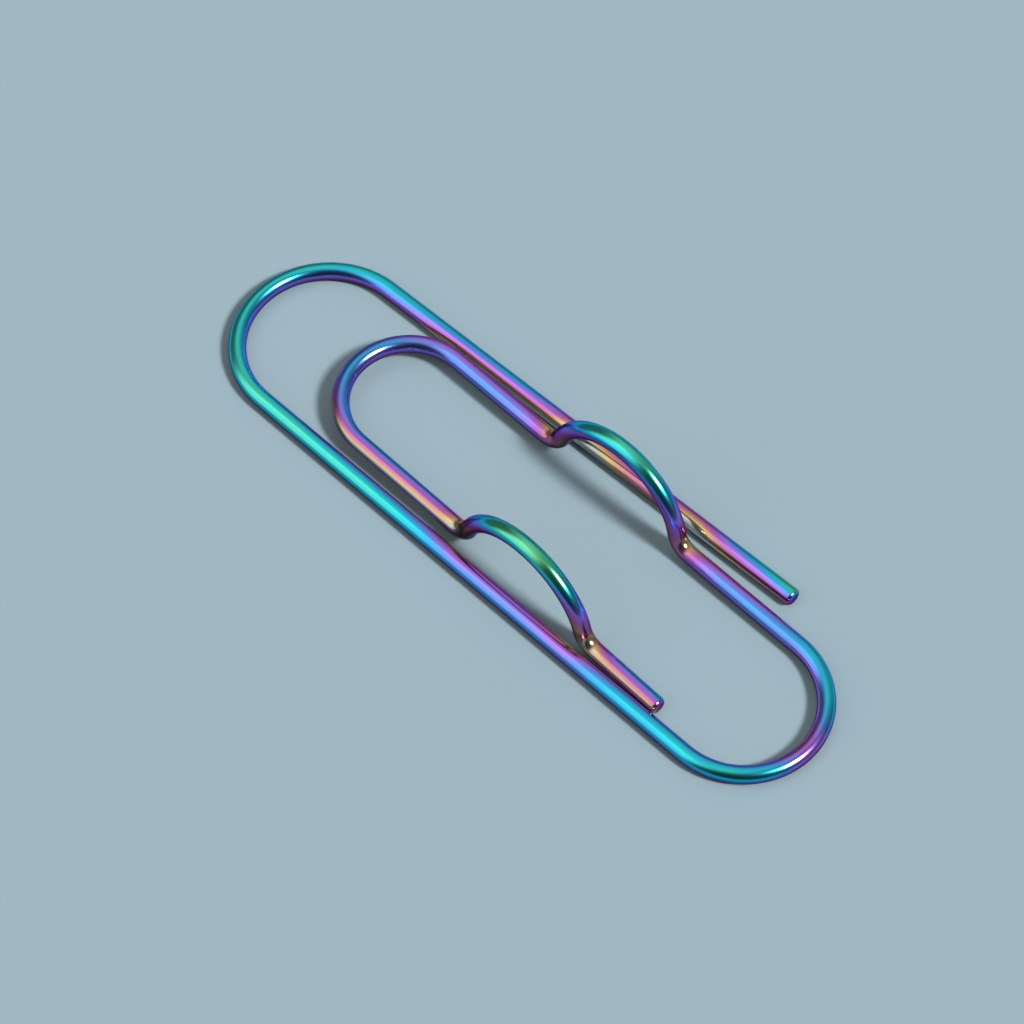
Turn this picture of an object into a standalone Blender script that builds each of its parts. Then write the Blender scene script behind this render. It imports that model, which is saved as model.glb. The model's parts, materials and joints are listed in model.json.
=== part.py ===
"""Pen clip: one spring wire bent into an outer loop and an inner tongue, with two upright pen arches.

The wire is divided into the stretches between its bends. Three bends twist as springs, and each of
them is divided at its apex, where the wire runs along Y and the twist turns about its own axis.
+X points from the mouth, where a cover slides in, to the spring end. The wire lies on z = 0.
"""

import math

import bpy
from mathutils import Vector

MM = 0.001

# Driving dimensions, in millimetres and degrees
WIRE_D = 1.2
CLIP_LENGTH = 50.2  # overall, outside both end bends
WIDE_BEND_R = 6.0  # centreline radius of the bend at the mouth
OUTER_LEG_SPLAY = 1.6  # the outer leg opens away from the long leg
OUTER_LEG_SETBACK = 2.4  # its free end stops this far short of the spring bend's centre
TONGUE_INSET = 8.85  # from the mouth's apex back to the tongue's apex
TONGUE_LIFT = 0.97  # the tongue stands up from the outer loop's plane
ROOT_GAP = 1.2  # clear, between the tongue's leg and the outer leg at the spring end
MOUTH_GAP = 0.16  # clear, between the tongue's leg and the outer leg at the tongue bend
FREE_LEG_GAP = 0.61  # clear, between the free leg and the long leg at the tongue bend
FREE_FOOT_GAP = 0.19  # clear, between the free arch's last foot and the long leg
TIP_GAP = 0.05  # clear, between the end of the free tip and the long leg
FREE_ARM_DROOP = 0.26  # the free leg, with its arch and tip, hangs from the tongue's plane
TIP_SETBACK = 3.25  # the free tip stops this far short of the spring bend's centre
ARCH_SPAN = 12.9  # between the two points where an arch leaves its leg
ARCH_RISE = 4.75  # of the crown's centreline above the leg's
ARCH_FOOT_INNER_R = 0.8  # inside radius of the bend at each foot
TONGUE_ARCH_SHIFT = 0.63  # towards the mouth from the middle of the tongue
FREE_ARCH_SHIFT = 0.05
TONGUE_ARCH_LEAN = 5.5  # towards the outer leg
FREE_ARCH_LEAN = 2.1
SPLIT_GAP = 0.05  # between the end faces of two stretches
BEND_LEAD = 0.5  # straight wire that each bend and arch keeps at its ends

# Fineness of the round shapes
BEVEL_RESOLUTION = 4
WIRE_SIDES = 2 * (BEVEL_RESOLUTION + 2)
BEND_STEPS = 12
CROWN_STEPS = 20
FOOT_STEPS = 5

# Film of the stretches: its colours as linear red, green and blue
FILM_ROUGHNESS = 0.18
TEAL = (0.03, 0.34, 0.40)
CYAN = (0.06, 0.45, 0.62)
BLUE = (0.08, 0.20, 0.60)
VIOLET = (0.24, 0.11, 0.55)
MAGENTA = (0.42, 0.13, 0.40)
GREEN = (0.08, 0.42, 0.30)

wire_r = WIRE_D / 2
splay = math.radians(OUTER_LEG_SPLAY)
slope = math.tan(splay)
foot_r = wire_r + ARCH_FOOT_INNER_R

# Plan of the outer loop, before it is centred: the wide bend's centre lies on y = 0
mouth_x = wire_r - CLIP_LENGTH / 2
spring_x = CLIP_LENGTH / 2 - wire_r
wide_centre = Vector((mouth_x + WIDE_BEND_R, 0, 0))
long_y = -WIDE_BEND_R


def on_circle(centre, radius, degrees):
    angle = math.radians(degrees)
    return centre + radius * Vector((math.cos(angle), math.sin(angle), 0))


wide_start = on_circle(wide_centre, WIDE_BEND_R, 90 + OUTER_LEG_SPLAY)


def outer_leg_y(x):
    return wide_start.y + (x - wide_start.x) * slope


# The spring bend joins the long leg to the tongue, which starts ROOT_GAP from the outer leg's end.
# A larger bend moves its centre away from its apex, and with it the splayed leg's end.
root_reach = outer_leg_y(spring_x - OUTER_LEG_SETBACK) - WIRE_D - ROOT_GAP
spring_r = (root_reach - long_y) / (2 + slope)
spring_centre = Vector((spring_x - spring_r, long_y + spring_r, 0))
outer_end_x = spring_centre.x - OUTER_LEG_SETBACK
outer_end = Vector((outer_end_x, outer_leg_y(outer_end_x), 0))

# The tongue is turned in plan until its bend passes MOUTH_GAP from the outer leg
tongue_apex_x = mouth_x + TONGUE_INSET
free_y = long_y + WIRE_D + FREE_LEG_GAP
front_reach = outer_leg_y(tongue_apex_x) - WIRE_D - MOUTH_GAP
tongue_r = (front_reach - free_y) / (2 - slope)
tongue_centre_x = tongue_apex_x + tongue_r
front_y = free_y + 2 * tongue_r
yaw = math.asin((front_y - (long_y + 2 * spring_r)) / (spring_centre.x - tongue_centre_x))
yaw_degrees = math.degrees(yaw)
towards_mouth = Vector((-math.cos(yaw), math.sin(yaw), 0))
towards_spring = -towards_mouth
sideways = Vector((math.sin(yaw), math.cos(yaw), 0))
up = Vector((0, 0, 1))
root_start = on_circle(spring_centre, spring_r, 90 - yaw_degrees)
root_length = (spring_centre.x - tongue_centre_x) / math.cos(yaw)
front_end = root_start + root_length * towards_mouth
tongue_centre = front_end - tongue_r * sideways
free_start = tongue_centre - tongue_r * sideways
leg_middle = root_length / 2

# Where each arch stands, and the free tip. The free arch is turned in plan until its last foot stands
# FREE_FOOT_GAP from the long leg.
tongue_arch_middle = root_start + (leg_middle + TONGUE_ARCH_SHIFT) * towards_mouth
free_first_foot = free_start + (leg_middle - FREE_ARCH_SHIFT - ARCH_SPAN / 2) * towards_spring
free_turn = math.asin((free_first_foot.y - long_y - WIRE_D - FREE_FOOT_GAP) / ARCH_SPAN)
free_along = Vector((math.cos(free_turn), -math.sin(free_turn), 0))
free_aside = Vector((math.sin(free_turn), math.cos(free_turn), 0))
free_arch_middle = free_first_foot + ARCH_SPAN / 2 * free_along
tip_start = free_arch_middle + (ARCH_SPAN / 2 + BEND_LEAD) * free_along
tip_end = Vector((spring_centre.x - TIP_SETBACK, long_y + WIRE_D + TIP_GAP, 0))

# Hinge points of the three bends that twist
mouth_apex = Vector((mouth_x, 0, 0))
spring_apex = Vector((spring_x, spring_centre.y, 0))
tongue_apex = tongue_centre + tongue_r * towards_mouth

# The box around the wire is centred on the origin in plan
highest_y = outer_end.y + wire_r * math.cos(splay)
lowest_y = long_y - wire_r
centring = Vector((0, -(highest_y + lowest_y) / 2, wire_r))


def straight(start, end):
    """Points of a straight stretch, half a split gap short at each end."""
    inset = SPLIT_GAP / 2 * (end - start).normalized()
    return [start + inset, end - inset]


def bend(centre, radius, first, last, apex_first):
    """Points of one half of a bend, from its apex to BEND_LEAD along the leg, or the other way.

    They are the corners between short chords that touch the bend's circle, and the first and last
    chords touch it at the apex and at the leg, so both end faces are square to the wire.
    """
    apex, leg = (first, last) if apex_first else (last, first)
    step = (leg - apex) / BEND_STEPS
    corner_r = radius / math.cos(math.radians(step / 2))
    turn = math.copysign(1, step)
    apex_tangent = on_circle(Vector(), turn, apex + 90)
    leg_tangent = on_circle(Vector(), turn, leg + 90)
    points = [on_circle(centre, radius, apex) + SPLIT_GAP / 2 * apex_tangent]
    for corner in range(BEND_STEPS):
        points.append(on_circle(centre, corner_r, apex + step * (corner + 0.5)))
    points.append(on_circle(centre, radius, leg) + (BEND_LEAD - SPLIT_GAP / 2) * leg_tangent)
    return points if apex_first else points[::-1]


def arch(middle, along, lean_side, lean_degrees):
    """Points of an arch: a round crown that meets the leg in a bend at each foot."""
    half = ARCH_SPAN / 2
    crown_r = (half**2 + ARCH_RISE**2 - 2 * ARCH_RISE * foot_r) / (2 * ARCH_RISE)
    flank = math.atan2(half, foot_r - ARCH_RISE + crown_r)
    profile = [(-half - BEND_LEAD + SPLIT_GAP / 2, 0)]
    for step in range(FOOT_STEPS):
        angle = flank * step / FOOT_STEPS
        profile.append((foot_r * math.sin(angle) - half, foot_r * (1 - math.cos(angle))))
    for step in range(CROWN_STEPS // 2):
        angle = flank * (2 * step / CROWN_STEPS - 1)
        profile.append((crown_r * math.sin(angle), ARCH_RISE - crown_r * (1 - math.cos(angle))))
    mirrored = [(-along_leg, height) for along_leg, height in reversed(profile)]
    profile += [(0, ARCH_RISE)] + mirrored
    lean = math.radians(lean_degrees)
    rise = math.cos(lean) * up + math.sin(lean) * lean_side
    return [middle + along_leg * along + height * rise for along_leg, height in profile]


def film(name, colour):
    """The rainbow film of one stretch: a smooth coloured metal."""
    material = bpy.data.materials.new(name + "_film")
    material.use_nodes = True
    shader = material.node_tree.nodes["Principled BSDF"]
    shader.inputs["Base Color"].default_value = (*colour, 1)
    shader.inputs["Metallic"].default_value = 1
    shader.inputs["Roughness"].default_value = FILM_ROUGHNESS
    return material


def hinge_empty(name, plan_point, parent=None, parent_point=None):
    """An empty on a bend's twist axis; it carries the pieces beyond that bend."""
    empty = bpy.data.objects.new(name, None)
    collection.objects.link(empty)
    empty.parent = parent
    origin = parent_point if parent else -centring
    empty.location = MM * (plan_point - origin)
    return empty


def wire(name, points, colour, carrier, carrier_point):
    """One stretch of wire, with a flat of its section facing down."""
    curve = bpy.data.curves.new(name, "CURVE")
    curve.dimensions = "3D"
    curve.twist_mode = "Z_UP"
    curve.bevel_depth = MM * wire_r / math.cos(math.pi / WIRE_SIDES)
    curve.bevel_resolution = BEVEL_RESOLUTION
    curve.use_fill_caps = True
    spline = curve.splines.new("POLY")
    spline.points.add(len(points) - 1)
    for target, point in zip(spline.points, points):
        target.co = (*(MM * (point - carrier_point)), 1)
        target.tilt = math.pi / WIRE_SIDES
    curve.materials.append(film(name, colour))
    stretch = bpy.data.objects.new(name, curve)
    stretch.parent = carrier
    collection.objects.link(stretch)


for old in list(bpy.data.objects):
    bpy.data.objects.remove(old)
collection = bpy.data.collections.new("pen_clip")
bpy.context.scene.collection.children.link(collection)

loop_base = hinge_empty("loop_base", Vector())
mouth_hinge = hinge_empty("mouth_hinge", mouth_apex)
spring_hinge = hinge_empty("spring_hinge", spring_apex)
spring_hinge.rotation_euler.y = math.radians(TONGUE_LIFT)
tongue_hinge = hinge_empty("tongue_hinge", tongue_apex, spring_hinge, spring_apex)
tongue_hinge.rotation_euler.y = math.radians(FREE_ARM_DROOP)

# Outer leg and its half of the wide bend
wide_outer = bend(wide_centre, WIDE_BEND_R, 90 + OUTER_LEG_SPLAY, 180, apex_first=False)
outer_joint = wide_start + BEND_LEAD * (outer_end - wide_start).normalized()
wire("outer_leg", straight(outer_end, outer_joint), VIOLET, mouth_hinge, mouth_apex)
wire("wide_bend_outer_half", wide_outer, TEAL, mouth_hinge, mouth_apex)

# Long leg, with the halves of the two end bends
wide_long = bend(wide_centre, WIDE_BEND_R, 180, 270, apex_first=True)
long_start = on_circle(wide_centre, WIDE_BEND_R, 270) + Vector((BEND_LEAD, 0, 0))
long_end = on_circle(spring_centre, spring_r, -90) - Vector((BEND_LEAD, 0, 0))
spring_long = bend(spring_centre, spring_r, -90, 0, apex_first=False)
wire("wide_bend_long_half", wide_long, TEAL, loop_base, Vector())
wire("long_leg", straight(long_start, long_end), CYAN, loop_base, Vector())
wire("spring_bend_long_half", spring_long, CYAN, loop_base, Vector())

# Tongue: from the spring bend over its arch to the tongue bend
lead = BEND_LEAD * towards_mouth
half_arch = ARCH_SPAN / 2 * towards_mouth
spring_tongue = bend(spring_centre, spring_r, 0, 90 - yaw_degrees, apex_first=True)
root_leg = straight(root_start + lead, tongue_arch_middle - half_arch - lead)
front_leg = straight(tongue_arch_middle + half_arch + lead, front_end - lead)
tongue_arch = arch(tongue_arch_middle, towards_mouth, sideways, TONGUE_ARCH_LEAN)
tongue_root = bend(tongue_centre, tongue_r, 90 - yaw_degrees, 180 - yaw_degrees, apex_first=False)
wire("spring_bend_tongue_half", spring_tongue, BLUE, spring_hinge, spring_apex)
wire("tongue_root_leg", root_leg, BLUE, spring_hinge, spring_apex)
wire("tongue_pen_arch", tongue_arch, GREEN, spring_hinge, spring_apex)
wire("tongue_front_leg", front_leg, VIOLET, spring_hinge, spring_apex)
wire("tongue_bend_root_half", tongue_root, BLUE, spring_hinge, spring_apex)

# Free leg: from the tongue bend over its arch to the free tip
tongue_free = bend(tongue_centre, tongue_r, 180 - yaw_degrees, 270 - yaw_degrees, apex_first=True)
free_joint = free_first_foot - BEND_LEAD * free_along
free_leg = straight(free_start + BEND_LEAD * towards_spring, free_joint)
free_arch = arch(free_arch_middle, free_along, free_aside, FREE_ARCH_LEAN)
wire("tongue_bend_free_half", tongue_free, VIOLET, tongue_hinge, tongue_apex)
wire("free_front_leg", free_leg, MAGENTA, tongue_hinge, tongue_apex)
wire("free_pen_arch", free_arch, GREEN, tongue_hinge, tongue_apex)
wire("free_tip", straight(tip_start, tip_end), MAGENTA, tongue_hinge, tongue_apex)
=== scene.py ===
"""Looks of the pen clip: one round wire swept along the CAD's centreline, under a rainbow film.

The wire is swept once, from the outer leg's end to the free tip, and cut into named pieces, so the
pieces share their end rings and no seam shows. The film's thickness is worked out from the wire's
own shape: it is thick where the wire stands alone, and thin where other wire lies near or overhead.
"""

import json
import math

import bmesh
import bpy
import numpy as np
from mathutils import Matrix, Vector


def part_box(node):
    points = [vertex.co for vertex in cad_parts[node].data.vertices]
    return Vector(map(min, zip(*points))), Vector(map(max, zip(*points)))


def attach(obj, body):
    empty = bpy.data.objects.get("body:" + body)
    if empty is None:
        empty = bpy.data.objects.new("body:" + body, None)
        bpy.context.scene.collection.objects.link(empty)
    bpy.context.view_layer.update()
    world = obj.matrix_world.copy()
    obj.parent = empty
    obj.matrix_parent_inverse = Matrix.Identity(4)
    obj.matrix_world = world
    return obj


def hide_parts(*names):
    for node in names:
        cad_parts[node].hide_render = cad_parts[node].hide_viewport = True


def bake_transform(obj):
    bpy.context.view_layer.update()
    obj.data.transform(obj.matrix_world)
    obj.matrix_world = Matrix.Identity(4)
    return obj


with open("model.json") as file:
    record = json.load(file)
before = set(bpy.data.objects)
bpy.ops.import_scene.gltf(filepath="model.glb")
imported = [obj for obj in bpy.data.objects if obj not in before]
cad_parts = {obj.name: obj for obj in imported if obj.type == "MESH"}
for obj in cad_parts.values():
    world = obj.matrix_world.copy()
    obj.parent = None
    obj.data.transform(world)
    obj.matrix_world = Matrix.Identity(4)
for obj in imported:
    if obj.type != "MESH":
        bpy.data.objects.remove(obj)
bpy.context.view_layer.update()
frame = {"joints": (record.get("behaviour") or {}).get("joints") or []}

MM = 0.001

# Shape of the wire, in millimetres and degrees, as the CAD has it
OUTER_LEG_SPLAY = 1.6
OUTER_LEG_SETBACK = 2.4
TIP_SETBACK = 3.25
FREE_FOOT_GAP = 0.19
TIP_GAP = 0.05
FREE_ARM_DROOP = 0.26
ARCH_SPAN = 12.9
ARCH_RISE = 4.75
ARCH_FOOT_INNER_R = 0.8
TONGUE_ARCH_SHIFT = 0.63
FREE_ARCH_SHIFT = 0.05
TONGUE_ARCH_LEAN = 5.5
FREE_ARCH_LEAN = 2.1
BEND_LEAD = 0.5

# Rounding of the two cut ends, in millimetres
OUTER_END_ROUNDING = 0.3
TIP_ROUNDING = 0.3

# Fineness of the sweep
SIDES = 48
STRAIGHT_STEP = 0.35  # mm
BEND_STEP = 3.0  # degrees
CROWN_STEP = 2.5
FOOT_STEP = 5.0
ROUNDING_RINGS = 6
ROUNDING_REACH = 1.5  # roundings from a cut end to the first plain ring

# Growth of the film, from 0 for bare steel to 1 for its thickest, green. Each stretch has a growth of
# its own, a gain on the side that faces out of the clip, and the shares of its length between which
# both hold; from there they shade into the next stretch. A share below 0 or above 1 lies in the
# neighbouring stretch.
FILM_ON_STRETCH = {
    "outer_leg": (0.44, 0.08, 0.35, 0.65),
    "wide_bend": (0.47, -0.07, 0.35, 0.65),
    "long_leg": (0.53, 0.02, 0.05, 0.65),
    "spring_bend": (0.42, -0.02, 0.35, 0.95),
    "tongue_root_leg": (0.32, -0.21, 0.35, 0.65),
    "tongue_pen_arch": (0.47, -0.09, 0.35, 0.65),
    "tongue_front_leg": (0.25, -0.29, 1.1, 1.25),
    "tongue_bend": (0.38, -0.11, 0.38, 0.62),
    "free_front_leg": (0.25, -0.44, -0.23, 0.65),
    "free_pen_arch": (0.51, 0.05, 0.35, 0.65),
    "free_tip": (0.30, -0.36, 0.35, 0.65),
}
NEARBY_LOSS = 0.15
NEARBY_FLOOR = 0.1
OVERHEAD_LOSS = 0.90
TOP_SIDE_GAIN = 0.167
OUTER_END_GAIN = 0.09  # at the outer leg's cut end
OUTER_END_REACH = 2.0  # mm along the wire that this gain fades over

# How other wire counts as near or overhead: powers of the distance, and of how squarely it stands there
NEARBY_FALLOFF = 2
NEARBY_FOCUS = 3
OVERHEAD_FALLOFF = 3
OVERHEAD_FOCUS = 2
SHADOW_SOFTNESS = 0.3  # mm
SHADOW_STEP = 0.25  # mm between the points that stand for the shadowing wire
SHADOW_BATCH = 2000  # surface points worked on at a time

# Marks where less film grew: on the outer leg under the tongue arch's two ends, in the saddle of each
# foot, and on the spring bend, as if it had hung on a hook there. Each has half its length, in mm, its
# depth and a shift.
MOUTH_END_MARK_HALF = 2.8
MOUTH_END_MARK_DEPTH = 0.22
MOUTH_END_MARK_INSET = 2.7  # mm from the arch's foot towards its middle
SPRING_END_MARK_HALF = 2.0
SPRING_END_MARK_DEPTH = 0.19
SPRING_END_MARK_INSET = 1.2
SADDLE_MARK_HALF = 1.4
SADDLE_MARK_DEPTH = 0.17
SADDLE_MARK_INSET = 0.6  # mm along the wire from the foot into the arch
HOOK_MARK_HALF = 2.0
HOOK_MARK_DEPTH = 0.28
HOOK_MARK_SHIFT = 0.1  # mm along the wire from the spring bend's apex

# Painted shade: the film's colour is darkened as the surface turns down, standing in for the shadowed
# floor that the underside reflects. Normals' heights where it is darkest and where it ends. Between two
# wires it is left off: amounts of nearby wire where that starts and where it is fully so.
PAINTED_SHADE_FULL_BELOW = -0.1
PAINTED_SHADE_NONE_ABOVE = 0.85
PAINTED_SHADE_DARKEST = 0.35
OPEN_NEARBY = 0.7
CLOSE_NEARBY = 1.6

# Colours of the film as it grows: place on the ramp, then linear red, green and blue
FILM_COLOURS = [
    (0.00, (0.60, 0.60, 0.56)),  # bare steel
    (0.06, (0.62, 0.58, 0.38)),  # straw
    (0.14, (0.78, 0.54, 0.22)),  # gold
    (0.20, (0.78, 0.41, 0.24)),  # amber
    (0.29, (0.65, 0.27, 0.35)),  # rose
    (0.40, (0.57, 0.19, 0.50)),  # magenta
    (0.50, (0.50, 0.18, 0.74)),  # purple
    (0.58, (0.44, 0.25, 1.00)),  # violet
    (0.68, (0.16, 0.36, 1.00)),  # blue
    (0.75, (0.06, 0.53, 0.97)),  # azure
    (0.82, (0.04, 0.74, 0.82)),  # cyan
    (0.91, (0.11, 0.78, 0.54)),  # mint
    (1.00, (0.22, 0.75, 0.32)),  # green
]

EDGE_TINT = (0.40, 0.28, 0.60)  # how much of the film's colour is left where the surface turns away

# Fine texture of the surface. A noise has its scales along and across the wire, per mm, and its detail.
FILM_DRIFT = 0.04  # of the film's growth, either way
FILM_DRIFT_NOISE = (0.5, 1.2, 2.0)
DRAW_LINE_NOISE = (0.6, 40.0, 3.0)
DRAW_LINE_STRENGTH = 0.15
DRAW_LINE_DEPTH = 0.004  # mm
SMOOTHEST = 0.16
ROUGHEST = 0.24

# The photograph's camera: where it stands and looks, in degrees and metres
CAMERA_AZIMUTH = 44.02
CAMERA_ELEVATION = 58.63
CAMERA_DISTANCE = 0.2210
CAMERA_TARGET = (-0.0008755, -0.001071, 0.0)
CAMERA_LENS = 120.0
CAMERA_SENSOR = 36.0
CAMERA_CLIP_START = 0.01


def joint_place(name):
    """A joint's point, in millimetres, and its axis."""
    joint = next(j for j in frame["joints"] if j["name"] == name)
    return np.array(joint["pos_m"]) / MM, np.array(joint["axis"])


# Sizes and places read from the frame, in millimetres
long_low, long_high = (np.array(corner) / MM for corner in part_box("long_leg"))
wire_r = (long_high[2] - long_low[2]) / 2
long_y = (long_high[1] + long_low[1]) / 2
mouth_apex, _ = joint_place("outer_arm_flex")
spring_apex, _ = joint_place("tongue_flex")
tongue_apex, tongue_axis = joint_place("free_arm_flex")

AXIS_X, AXIS_Y, AXIS_Z = np.eye(3)
wide_r = mouth_apex[1] - long_y
spring_r = spring_apex[1] - long_y
wide_centre = mouth_apex + wide_r * AXIS_X
spring_centre = spring_apex - spring_r * AXIS_X

# The tongue's own directions: it is lifted about the spring bend's apex and turned a little in plan
lift = math.atan2(tongue_apex[2] - spring_apex[2], spring_apex[0] - tongue_apex[0])
lifted_x = math.cos(lift) * AXIS_X - math.sin(lift) * AXIS_Z
tongue_up = math.sin(lift) * AXIS_X + math.cos(lift) * AXIS_Z
sideways = -tongue_axis / np.linalg.norm(tongue_axis)
towards_mouth = np.cross(tongue_up, sideways)
towards_spring = -towards_mouth
yaw = math.degrees(math.atan2(lifted_x @ sideways, lifted_x @ towards_spring))

# The tongue's bends and legs, from the two apexes that the frame gives
lifted_spring_centre = spring_apex - spring_r * lifted_x
apex_offset = tongue_apex - lifted_spring_centre
tongue_r = spring_r - apex_offset @ sideways
leg_length = apex_offset @ towards_mouth - tongue_r
root_start = lifted_spring_centre + spring_r * sideways
front_end = root_start + leg_length * towards_mouth
tongue_centre = front_end - tongue_r * sideways
free_start = tongue_centre - tongue_r * sideways
tongue_arch_middle = root_start + (leg_length / 2 + TONGUE_ARCH_SHIFT) * towards_mouth

# The free arch is turned in plan until its last foot stands close to the long leg
free_first_foot = free_start + (leg_length / 2 - FREE_ARCH_SHIFT - ARCH_SPAN / 2) * towards_spring
free_turn = math.asin((free_first_foot[1] - long_y - 2 * wire_r - FREE_FOOT_GAP) / ARCH_SPAN)
free_along = math.cos(free_turn) * lifted_x - math.sin(free_turn) * AXIS_Y
free_aside = math.sin(free_turn) * lifted_x + math.cos(free_turn) * AXIS_Y
free_arch_middle = free_first_foot + ARCH_SPAN / 2 * free_along
tip_aside = long_y + 2 * wire_r + TIP_GAP - spring_apex[1]
tip_end = spring_apex - (spring_r + TIP_SETBACK) * lifted_x + tip_aside * AXIS_Y


def line(start, end):
    """Points along a straight stretch."""
    count = math.ceil(np.linalg.norm(end - start) / STRAIGHT_STEP) + 1
    return np.linspace(start, end, count)


def arc(centre, radius, first_axis, second_axis, start, end, step=BEND_STEP):
    """Points along an arc, whose angles in degrees run from the first axis to the second."""
    angles = np.radians(np.linspace(start, end, math.ceil(abs(end - start) / step) + 1))
    return centre + radius * (np.outer(np.cos(angles), first_axis) + np.outer(np.sin(angles), second_axis))


def arch(middle, along, aside, lean):
    """Points along a pen arch: leg, foot, round crown, foot, leg."""
    half = ARCH_SPAN / 2
    foot_r = wire_r + ARCH_FOOT_INNER_R
    crown_r = (half**2 + ARCH_RISE**2 - 2 * ARCH_RISE * foot_r) / (2 * ARCH_RISE)
    flank = math.degrees(math.atan2(half, foot_r - ARCH_RISE + crown_r))
    rise = math.cos(math.radians(lean)) * tongue_up + math.sin(math.radians(lean)) * aside
    first_foot = middle - half * along
    last_foot = middle + half * along
    crown_centre = middle + (ARCH_RISE - crown_r) * rise
    return np.concatenate([
        [first_foot - BEND_LEAD * along],
        arc(first_foot + foot_r * rise, foot_r, along, rise, -90, flank - 90, FOOT_STEP),
        arc(crown_centre, crown_r, along, rise, 90 + flank, 90 - flank, CROWN_STEP)[1:-1],
        arc(last_foot + foot_r * rise, foot_r, along, rise, 270 - flank, 270, FOOT_STEP),
        [last_foot + BEND_LEAD * along],
    ])


def drooped(points):
    """Points of the free arm, turned down about the tongue bend's apex."""
    droop = math.radians(FREE_ARM_DROOP)
    along = math.cos(droop) * lifted_x - math.sin(droop) * tongue_up
    up = math.sin(droop) * lifted_x + math.cos(droop) * tongue_up
    offsets = points - tongue_apex
    return (tongue_apex + np.outer(offsets @ lifted_x, along) + np.outer(offsets @ tongue_up, up)
            + np.outer(offsets @ AXIS_Y, AXIS_Y))


def wire_route():
    """The wire's centreline as stretches that share their end points, from the outer leg's end on."""
    splay = math.radians(OUTER_LEG_SPLAY)
    outer_along = math.cos(splay) * AXIS_X + math.sin(splay) * AXIS_Y
    wide_bend = arc(wide_centre, wide_r, AXIS_X, AXIS_Y, 90 + OUTER_LEG_SPLAY, 270)
    outer_reach = (spring_centre[0] - OUTER_LEG_SETBACK - wide_bend[0, 0]) / outer_along[0]
    outer_end = wide_bend[0] + outer_reach * outer_along
    outer_joint = wide_bend[0] + BEND_LEAD * outer_along
    long_start = wide_bend[-1] + BEND_LEAD * AXIS_X
    spring_first = arc(spring_centre, spring_r, AXIS_X, AXIS_Y, -90, 0)
    spring_last = arc(lifted_spring_centre, spring_r, towards_spring, sideways, yaw, 90)
    long_end = spring_first[0] - BEND_LEAD * AXIS_X
    root_joint = root_start + BEND_LEAD * towards_mouth
    tongue_arch = arch(tongue_arch_middle, towards_mouth, sideways, TONGUE_ARCH_LEAN)
    front_joint = front_end - BEND_LEAD * towards_mouth
    tongue_bend_first = arc(tongue_centre, tongue_r, towards_spring, sideways, 90, 180)
    free_half = arc(tongue_centre, tongue_r, towards_spring, sideways, 180, 270)[1:]
    free_joint = free_start + BEND_LEAD * towards_spring
    tongue_bend_last = drooped(np.concatenate([free_half, [free_joint]]))
    free_arch = drooped(arch(free_arch_middle, free_along, free_aside, FREE_ARCH_LEAN))
    free_end = drooped(tip_end[None])[0]
    return {
        "outer_leg": line(outer_end, outer_joint),
        "wide_bend": np.concatenate([[outer_joint], wide_bend, [long_start]]),
        "long_leg": line(long_start, long_end),
        "spring_bend": np.concatenate([[long_end], spring_first, spring_last[1:], [root_joint]]),
        "tongue_root_leg": line(root_joint, tongue_arch[0]),
        "tongue_pen_arch": tongue_arch,
        "tongue_front_leg": line(tongue_arch[-1], front_joint),
        "tongue_bend": np.concatenate([[front_joint], tongue_bend_first, tongue_bend_last]),
        "free_front_leg": line(tongue_bend_last[-1], free_arch[0]),
        "free_pen_arch": free_arch,
        "free_tip": line(free_arch[-1], free_end),
    }


def unit(vectors):
    """Vectors scaled to a length of 1."""
    return vectors / np.linalg.norm(vectors, axis=-1, keepdims=True)


def rounded_end(points, rounding):
    """The points again, starting from a cut end, with rings added for its rounded rim; and their radii."""
    angles = np.linspace(math.pi / 2, 0, ROUNDING_RINGS + 1)
    along = unit(points[1] - points[0])
    rim = points[0] + np.outer(rounding * (1 - np.sin(angles)), along)
    rim_radii = wire_r - rounding * (1 - np.cos(angles))
    rest = points[np.linalg.norm(points - points[0], axis=1) > ROUNDING_REACH * rounding]
    return np.concatenate([rim, rest]), np.concatenate([rim_radii, np.full(len(rest), wire_r)])


def join_stretches(route):
    """All the stretches' points in one row, a radius for each, and where each stretch lies in the row."""
    radii = {name: np.full(len(points), wire_r) for name, points in route.items()}
    route["outer_leg"], radii["outer_leg"] = rounded_end(route["outer_leg"], OUTER_END_ROUNDING)
    tip, tip_radii = rounded_end(route["free_tip"][::-1], TIP_ROUNDING)
    route["free_tip"], radii["free_tip"] = tip[::-1], tip_radii[::-1]
    centres, ring_radii, limits = [], [], {}
    for name, points in route.items():
        skip = 1 if centres else 0
        first = max(0, len(centres) - 1)
        centres += list(points[skip:])
        ring_radii += list(radii[name][skip:])
        limits[name] = (first, len(centres))
    return np.array(centres), np.array(ring_radii), limits


def directions_along(centres):
    """Lengths along the wire, and the directions up from it and out to its side."""
    chords = np.diff(centres, axis=0)
    lengths = np.concatenate([[0], np.cumsum(np.linalg.norm(chords, axis=1))])
    directions = unit(chords)
    tangents = unit(np.concatenate([directions[:1], directions[:-1] + directions[1:], directions[-1:]]))
    up = AXIS_Z
    ups = []
    for tangent in tangents:
        up = unit(up - (up @ tangent) * tangent)
        ups.append(up)
    ups = np.array(ups)
    return lengths, ups, np.cross(tangents, ups)


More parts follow.
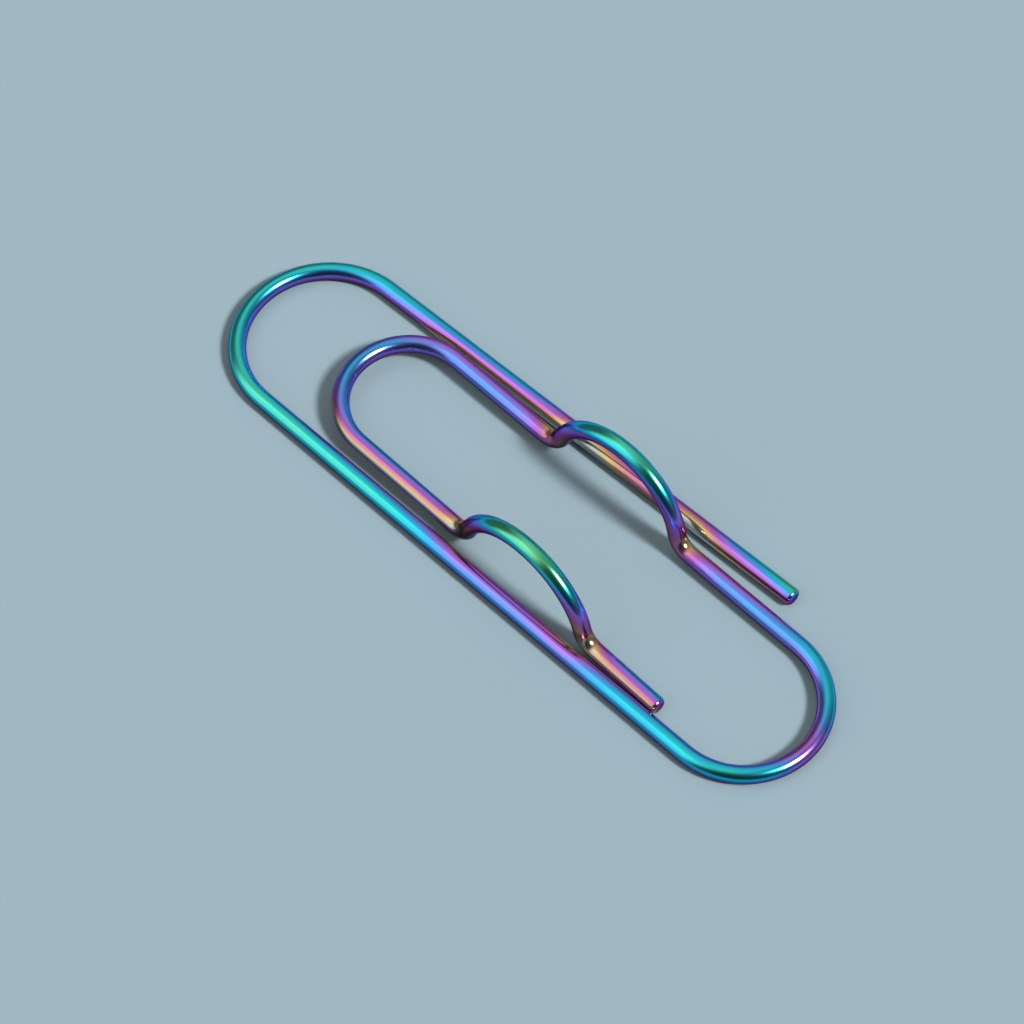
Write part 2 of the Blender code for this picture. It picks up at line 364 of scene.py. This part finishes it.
def sweep(route):
    """Rings of surface points along the whole wire, with normals, lengths along it and piece limits."""
    centres, radii, limits = join_stretches(route)
    lengths, ups, outs = directions_along(centres)
    angles = np.linspace(0, 2 * math.pi, SIDES, endpoint=False)
    spokes = np.cos(angles)[None, :, None] * ups[:, None] + np.sin(angles)[None, :, None] * outs[:, None]
    rings = centres[:, None] + radii[:, None, None] * spokes
    around = np.roll(rings, -1, axis=1) - np.roll(rings, 1, axis=1)
    normals = unit(np.cross(around, np.gradient(rings, axis=0)))
    normals *= np.sign((normals * spokes).sum(axis=2, keepdims=True).mean())
    return {"centres": centres, "ups": ups, "outs": outs, "rings": rings, "normals": normals,
            "lengths": lengths, "angles": angles, "limits": limits}


def shadows(wire):
    """How much wire stands over each point of the surface, and how much lies near it."""
    lengths = wire["lengths"]
    stations = np.arange(0, lengths[-1], SHADOW_STEP)
    shades = np.stack([np.interp(stations, lengths, wire["centres"][:, k]) for k in range(3)], axis=1)
    points = wire["rings"].reshape(-1, 3)
    normals = wire["normals"].reshape(-1, 3)
    overhead = np.zeros(len(points))
    nearby = np.zeros(len(points))
    for start in range(0, len(points), SHADOW_BATCH):
        batch = slice(start, start + SHADOW_BATCH)
        to_shade = shades[None] - points[batch, None]
        distance = np.linalg.norm(to_shade, axis=2)
        facing = ((to_shade * normals[batch, None]).sum(axis=2) / distance + 1) / 2
        above = np.maximum(0, to_shade[..., 2] / distance)
        reach = np.sqrt(distance**2 + SHADOW_SOFTNESS**2)
        over = facing * above**OVERHEAD_FOCUS / reach**OVERHEAD_FALLOFF
        near = facing**NEARBY_FOCUS / reach**NEARBY_FALLOFF
        overhead[batch] = over.sum(axis=1) * SHADOW_STEP
        nearby[batch] = near.sum(axis=1) * SHADOW_STEP
    shape = wire["rings"].shape[:2]
    return overhead.reshape(shape), nearby.reshape(shape)


def film_marks(wire):
    """How much less film grew along the wire at its marks: all round it, and on the top side only."""
    lengths = wire["lengths"]

    def mark(point, stretch, half_length, depth, shift=0):
        """A soft mark on a stretch, centred on its place nearest the point and then shifted along it."""
        first, last = wire["limits"][stretch]
        distances = np.linalg.norm(wire["centres"][first:last] - point, axis=1)
        place = lengths[first + distances.argmin()] + shift
        return depth * np.exp(-((lengths - place) / half_length) ** 2)

    half_span = ARCH_SPAN / 2
    mouth_end = tongue_arch_middle + (half_span - MOUTH_END_MARK_INSET) * towards_mouth
    spring_end = tongue_arch_middle + (half_span - SPRING_END_MARK_INSET) * towards_spring
    all_round = mark(mouth_end, "outer_leg", MOUTH_END_MARK_HALF, MOUTH_END_MARK_DEPTH)
    all_round += mark(spring_end, "outer_leg", SPRING_END_MARK_HALF, SPRING_END_MARK_DEPTH)
    all_round += mark(spring_apex, "spring_bend", HOOK_MARK_HALF, HOOK_MARK_DEPTH, HOOK_MARK_SHIFT)
    saddles = np.zeros_like(lengths)
    for side in (-1, 1):
        inwards = -side * SADDLE_MARK_INSET
        tongue_foot = tongue_arch_middle + side * half_span * towards_mouth
        free_foot = free_arch_middle + side * half_span * free_along
        saddles += mark(tongue_foot, "tongue_pen_arch", SADDLE_MARK_HALF, SADDLE_MARK_DEPTH, inwards)
        saddles += mark(free_foot, "free_pen_arch", SADDLE_MARK_HALF, SADDLE_MARK_DEPTH, inwards)
    return all_round[:, None], saddles[:, None]


def film_growth(wire, overhead, nearby):
    """How thick the film grew all over the wire: less beside and under other wire."""
    lengths = wire["lengths"]
    places, growths, outer_gains = [], [], []
    for name, (first, last) in wire["limits"].items():
        growth, outer_gain, *plateau = FILM_ON_STRETCH[name]
        for share in plateau:
            places.append(lengths[first] + share * (lengths[last - 1] - lengths[first]))
            growths.append(growth)
            outer_gains.append(outer_gain)
    at_outer_end = OUTER_END_GAIN * np.exp(-((lengths / OUTER_END_REACH) ** 2))
    along = (np.interp(lengths, places, growths) + at_outer_end)[:, None]
    outer_gain_along = np.interp(lengths, places, outer_gains)[:, None]
    outwards = (wire["normals"] * wire["outs"][:, None]).sum(axis=2)
    upwards = (wire["normals"] * wire["ups"][:, None]).sum(axis=2)
    all_round, saddles = film_marks(wire)
    growth = along - all_round + outer_gain_along * outwards
    growth += TOP_SIDE_GAIN * upwards - saddles * np.maximum(0, upwards)
    return growth - OVERHEAD_LOSS * np.sqrt(overhead) - NEARBY_LOSS * np.log(nearby + NEARBY_FLOOR)


def smooth_step(values, low, high):
    """Values eased from 0 at the low limit to 1 at the high one."""
    share = np.clip((values - low) / (high - low), 0, 1)
    return share**2 * (3 - 2 * share)


def painted_underside_shade(wire, nearby):
    """Painted shade over the wire: the film's colour darkened as the surface turns down, but not between
    wires.
    """
    turned_up = smooth_step(wire["normals"][..., 2], PAINTED_SHADE_FULL_BELOW, PAINTED_SHADE_NONE_ABOVE)
    enclosed = smooth_step(nearby, OPEN_NEARBY, CLOSE_NEARBY)
    return PAINTED_SHADE_DARKEST + (1 - PAINTED_SHADE_DARKEST) * np.maximum(turned_up, enclosed)


def join_rings(built, grid):
    """Faces of the tube from each ring to the next."""
    for ring, next_ring in zip(grid, grid[1:]):
        for side in range(SIDES):
            after = (side + 1) % SIDES
            corners = (ring[side], ring[after], next_ring[after], next_ring[side])
            built.faces.new(corners).smooth = True


def close_end(built, rim, middle, cut_end):
    """Faces that close a piece's end. A cut end is the only kind that shows, and it is shaded smoothly."""
    for side in range(SIDES):
        face = built.faces.new((middle, rim[(side + 1) % SIDES], rim[side]))
        face.smooth = cut_end
    for side in range(SIDES):
        built.edges.get((rim[side], rim[(side + 1) % SIDES])).smooth = cut_end


def wire_piece(wire, name):
    """One closed piece of the swept wire, with its film and its place on the straightened wire."""
    first, last = wire["limits"][name]
    built = bmesh.new()
    film = built.verts.layers.float.new("film")
    # painted shade: how far the film's colour is darkened at each vertex, most on the underside
    painted_shade = built.verts.layers.float.new("painted_shade")
    straight = built.verts.layers.float_vector.new("straight_wire")

    def vertex(point, length, radius, angle, growth, shade_factor):
        """A vertex at the point, given in mm, with its place on the straightened wire and its film."""
        new = built.verts.new(MM * Vector(point))
        new[film] = growth
        new[painted_shade] = shade_factor
        new[straight] = (length, radius * math.cos(angle), radius * math.sin(angle))
        return new

    grid = []
    for ring in range(first, last):
        length = wire["lengths"][ring]
        grid.append([vertex(wire["rings"][ring, side], length, wire_r, wire["angles"][side],
                            wire["growth"][ring, side], wire["painted_shade"][ring, side])
                     for side in range(SIDES)])
    join_rings(built, grid)
    for end, rim in ((first, grid[0]), (last - 1, grid[-1][::-1])):
        middle_growth = np.mean([corner[film] for corner in rim])
        middle_shade_factor = np.mean([corner[painted_shade] for corner in rim])
        middle = vertex(wire["centres"][end], wire["lengths"][end], 0, 0, middle_growth, middle_shade_factor)
        close_end(built, rim, middle, cut_end=end in (0, len(wire["centres"]) - 1))
    bmesh.ops.recalc_face_normals(built, faces=built.faces)
    mesh = bpy.data.meshes.new(name + "_wire")
    built.to_mesh(mesh)
    built.free()
    piece = bpy.data.objects.new(name + "_wire", mesh)
    bpy.context.scene.collection.objects.link(piece)
    return piece


def rainbow_material():
    """Polished spring steel under the film: its colour follows the film, darkened by a painted shade on
    the underside, and draw lines run along it.
    """
    material = bpy.data.materials.new("rainbow_film")
    material.use_nodes = True
    nodes = material.node_tree.nodes
    links = material.node_tree.links
    shader = nodes["Principled BSDF"]
    shader.inputs["Metallic"].default_value = 1.0
    shader.inputs["Specular Tint"].default_value = (*EDGE_TINT, 1.0)

    film = nodes.new("ShaderNodeAttribute")
    film.attribute_name = "film"
    place = nodes.new("ShaderNodeAttribute")
    place.attribute_name = "straight_wire"

    def noise(scale_along, scale_across, detail):
        """Noise on the straightened wire, so that it follows the bends."""
        stretch = nodes.new("ShaderNodeVectorMath")
        stretch.operation = "MULTIPLY"
        stretch.inputs[1].default_value = (scale_along, scale_across, scale_across)
        texture = nodes.new("ShaderNodeTexNoise")
        texture.inputs["Scale"].default_value = 1.0
        texture.inputs["Detail"].default_value = detail
        links.new(place.outputs["Vector"], stretch.inputs[0])
        links.new(stretch.outputs[0], texture.inputs["Vector"])
        return texture.outputs["Fac"]

    def spread(source, low, high):
        """Values of 0 to 1 spread from low to high."""
        rescale = nodes.new("ShaderNodeMapRange")
        rescale.inputs["To Min"].default_value = low
        rescale.inputs["To Max"].default_value = high
        links.new(source, rescale.inputs["Value"])
        return rescale.outputs["Result"]

    drift = spread(noise(*FILM_DRIFT_NOISE), -FILM_DRIFT, FILM_DRIFT)
    grown = nodes.new("ShaderNodeMath")
    grown.operation = "ADD"
    links.new(film.outputs["Fac"], grown.inputs[0])
    links.new(drift, grown.inputs[1])
    ramp = nodes.new("ShaderNodeValToRGB")
    stops = ramp.color_ramp.elements
    while len(stops) < len(FILM_COLOURS):
        stops.new(1.0)
    for stop, (position, colour) in zip(stops, FILM_COLOURS):
        stop.position = position
        stop.color = (*colour, 1.0)
    links.new(grown.outputs[0], ramp.inputs["Fac"])
    # Painted shade: the film's colour is scaled down where the surface turns down, but not between wires
    painted_shade = nodes.new("ShaderNodeAttribute")
    painted_shade.attribute_name = "painted_shade"
    shaded_colour = nodes.new("ShaderNodeVectorMath")
    shaded_colour.operation = "SCALE"
    links.new(ramp.outputs["Color"], shaded_colour.inputs["Vector"])
    links.new(painted_shade.outputs["Fac"], shaded_colour.inputs["Scale"])
    links.new(shaded_colour.outputs["Vector"], shader.inputs["Base Color"])

    draw_lines = noise(*DRAW_LINE_NOISE)
    links.new(spread(draw_lines, SMOOTHEST, ROUGHEST), shader.inputs["Roughness"])
    bump = nodes.new("ShaderNodeBump")
    bump.inputs["Strength"].default_value = DRAW_LINE_STRENGTH
    bump.inputs["Distance"].default_value = DRAW_LINE_DEPTH * MM
    links.new(draw_lines, bump.inputs["Height"])
    links.new(bump.outputs["Normal"], shader.inputs["Normal"])
    return material


# The wire's pieces: each leg and arch rides on its CAD body; the three bends stay in place, and the CAD
# halves they stand for are hidden
RIDES = {
    "outer_leg": "outer_arm",
    "long_leg": "outer_loop",
    "tongue_root_leg": "tongue",
    "tongue_pen_arch": "tongue",
    "tongue_front_leg": "tongue",
    "free_front_leg": "free_arm",
    "free_pen_arch": "free_arm",
    "free_tip": "free_arm",
}
TWISTS = {
    "wide_bend": ("outer_arm", "outer_loop", mouth_apex, -wide_r * AXIS_Y,
                  ("wide_bend_outer_half", "wide_bend_long_half")),
    "spring_bend": ("outer_loop", "tongue", spring_apex, spring_r * AXIS_Y,
                    ("spring_bend_long_half", "spring_bend_tongue_half")),
    "tongue_bend": ("tongue", "free_arm", tongue_apex, -tongue_r * sideways,
                    ("tongue_bend_root_half", "tongue_bend_free_half")),
}

wire = sweep(wire_route())
overhead, nearby = shadows(wire)
wire["growth"] = film_growth(wire, overhead, nearby)
# Painted shade that darkens the film's colour on the underside
wire["painted_shade"] = painted_underside_shade(wire, nearby)
rainbow = rainbow_material()
for name in wire["limits"]:
    piece = wire_piece(wire, name)
    piece.data.materials.append(rainbow)
    if name in RIDES:
        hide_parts(name)
        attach(piece, RIDES[name])
    else:
        before, after, apex, reach, halves = TWISTS[name]
        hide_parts(*halves)
        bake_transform(piece)


# Stage: a plain pale floor, soft light and the photograph's camera
FLOOR_SIZE = 6.0  # m
FLOOR_SIDES = 96
FLOOR_DROP = 0.01  # mm
FLOOR_COLOUR = (0.28, 0.38, 0.43)
FLOOR_ROUGHNESS = 0.9
FLOOR_SPECULAR = 0.2
WORLD_RADIANCE = 0.13

# Soft boxes of the studio: azimuth from +X towards +Y, zenith angle, width, height and soft edge, all in
# degrees, and the radiance that the box adds to the sky's, or takes from it where it is negative
SOFT_BOXES = {
    "key": (14, 41, 8, 10, 3, 135.0),
    "key glow": (14, 41, 20, 22, 8, 2.5),
    "fill": (236, 56, 46, 66, 12, 0.95),
    "overhead": (190, 14, 44, 44, 18, 0.58),
    "far side": (120, 46, 36, 44, 14, 0.4),
    "back": (82, 60, 26, 60, 16, 0.2),
    "dark camera side": (318, 62, 70, 70, 25, -0.10),
}


def floor_material():
    """Matt pale paper."""
    material = bpy.data.materials.new("pale_floor")
    material.use_nodes = True
    shader = material.node_tree.nodes["Principled BSDF"]
    shader.inputs["Base Color"].default_value = (*FLOOR_COLOUR, 1.0)
    shader.inputs["Roughness"].default_value = FLOOR_ROUGHNESS
    shader.inputs["Specular IOR Level"].default_value = FLOOR_SPECULAR
    return material


def make_floor():
    """A round floor just below the clip's underside."""
    bpy.ops.mesh.primitive_circle_add(vertices=FLOOR_SIDES, radius=FLOOR_SIZE / 2, fill_type="NGON",
                                      location=(0, 0, -FLOOR_DROP * MM))
    floor = bpy.context.object
    floor.name = "floor"
    floor.data.materials.append(floor_material())


def studio_world():
    """Soft boxes painted on a dim sky, so the light is even all over the floor."""
    world = bpy.data.worlds.new("studio")
    world.use_nodes = True
    nodes = world.node_tree.nodes
    links = world.node_tree.links
    sky = nodes.new("ShaderNodeTexCoord").outputs["Generated"]

    def calculate(operation, *inputs):
        """One step of arithmetic on numbers and other nodes' outputs."""
        node = nodes.new("ShaderNodeMath")
        node.operation = operation
        for socket, value in zip(node.inputs, inputs):
            if isinstance(value, (int, float)):
                socket.default_value = value
            else:
                links.new(value, socket)
        return node.outputs[0]

    def part_along(axis):
        """How far a sky direction reaches along the axis."""
        node = nodes.new("ShaderNodeVectorMath")
        node.operation = "DOT_PRODUCT"
        node.inputs[1].default_value = axis
        links.new(sky, node.inputs[0])
        return node.outputs["Value"]

    def within(angle, size, edge):
        """1 where the angle lies inside the size, fading to 0 across the soft edge."""
        node = nodes.new("ShaderNodeMapRange")
        node.interpolation_type = "SMOOTHSTEP"
        node.inputs["From Min"].default_value = math.radians(size / 2 + edge)
        node.inputs["From Max"].default_value = math.radians(size / 2 - edge)
        links.new(calculate("ABSOLUTE", angle), node.inputs["Value"])
        return node.outputs["Result"]

    radiance = WORLD_RADIANCE
    for azimuth, zenith, wide, tall, edge, strength in SOFT_BOXES.values():
        turn, tilt = math.radians(azimuth), math.radians(zenith)
        level = Vector((math.cos(turn), math.sin(turn), 0))
        across = Vector((-math.sin(turn), math.cos(turn), 0))
        towards = math.sin(tilt) * level + math.cos(tilt) * Vector((0, 0, 1))
        upwards = towards.cross(across)
        facing = part_along(towards)
        sides = within(calculate("ARCTAN2", part_along(across), facing), wide, edge)
        ends = within(calculate("ARCTAN2", part_along(upwards), facing), tall, edge)
        box = calculate("MULTIPLY", calculate("MULTIPLY", sides, ends), strength)
        radiance = calculate("ADD", box, radiance)
    background = nodes["Background"]
    background.inputs["Color"].default_value = (1.0, 1.0, 1.0, 1.0)
    links.new(radiance, background.inputs["Strength"])
    bpy.context.scene.world = world


def photo_camera():
    """The photograph's camera, looking at its target from its azimuth, elevation and distance."""
    camera_data = bpy.data.cameras.new("camera")
    camera_data.lens = CAMERA_LENS
    camera_data.sensor_width = CAMERA_SENSOR
    camera_data.clip_start = CAMERA_CLIP_START
    camera = bpy.data.objects.new("camera", camera_data)
    azimuth, elevation = math.radians(CAMERA_AZIMUTH), math.radians(CAMERA_ELEVATION)
    level = Vector((math.sin(azimuth), -math.cos(azimuth), 0))
    back = math.cos(elevation) * level + math.sin(elevation) * Vector((0, 0, 1))
    camera.location = Vector(CAMERA_TARGET) + CAMERA_DISTANCE * back
    camera.rotation_euler = back.to_track_quat("Z", "Y").to_euler()
    bpy.context.scene.collection.objects.link(camera)
    bpy.context.scene.camera = camera


make_floor()
studio_world()
photo_camera()
bpy.context.scene.view_settings.view_transform = "Standard"
